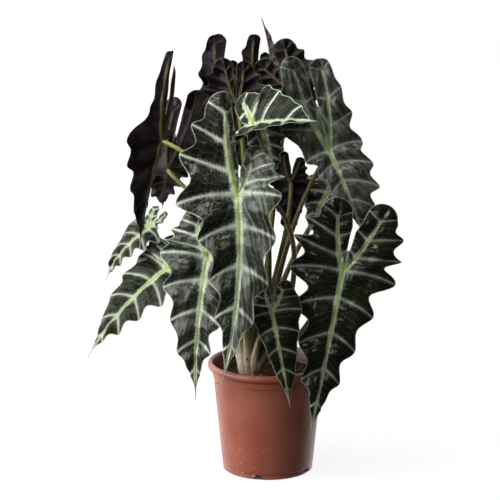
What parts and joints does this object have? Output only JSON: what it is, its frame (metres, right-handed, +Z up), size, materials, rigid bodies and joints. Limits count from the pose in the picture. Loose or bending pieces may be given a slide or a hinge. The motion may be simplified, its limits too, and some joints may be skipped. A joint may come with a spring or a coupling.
{
  "type": "potted alocasia",
  "caption": "Arrowhead-leaved alocasia with pale veins, long stalks and a sheathed crown, in a round plastic nursery pot",
  "frame": {"origin": "centre of the pot's foot, on the plane that the pot stands on", "axes": "+Z up along the pot's axis, -Y towards the front of the plant, +X to the right as seen from the front"},
  "size_m": [0.3054, 0.2177, 0.4442],
  "materials": {
    "pot": "satin terracotta-coloured plastic",
    "soil": "dark moist peat mix, matt",
    "crown": "ribbed fleshy sheaths, satin",
    "stalk": "smooth fleshy stalk, satin",
    "blade": "waxy leaf, semi-gloss"
  },
  "bodies": {
    "root": {"pot": "pot", "soil": "soil", "crown": "crown", "stalk_front": "stalk", "blade_front": "blade", "stalk_frontLeft": "stalk", "blade_frontLeft": "blade", "stalk_lowLeft": "stalk", "blade_lowLeft": "blade", "stalk_backLeft": "stalk", "blade_backLeft": "blade", "stalk_farLeft": "stalk", "blade_farLeft": "blade", "stalk_upperLeft": "stalk", "blade_upperLeft": "blade", "stalk_topLeft": "stalk", "blade_topLeft": "blade", "stalk_top": "stalk", "blade_top": "blade", "stalk_topBack": "stalk", "blade_topBack": "blade", "stalk_young": "stalk", "blade_young": "blade", "stalk_topRight": "stalk", "blade_topRight": "blade", "stalk_right": "stalk", "blade_right": "blade", "stalk_lowRight": "stalk", "blade_lowRight": "blade", "stalk_lowFront": "stalk", "blade_lowFront": "blade", "stalk_middle": "stalk", "blade_middle": "blade", "stalk_inner": "stalk", "blade_inner": "blade", "stalk_innerLow": "stalk", "blade_innerLow": "blade", "stalk_innerRight": "stalk", "blade_innerRight": "blade"}
  },
  "joints": []
}
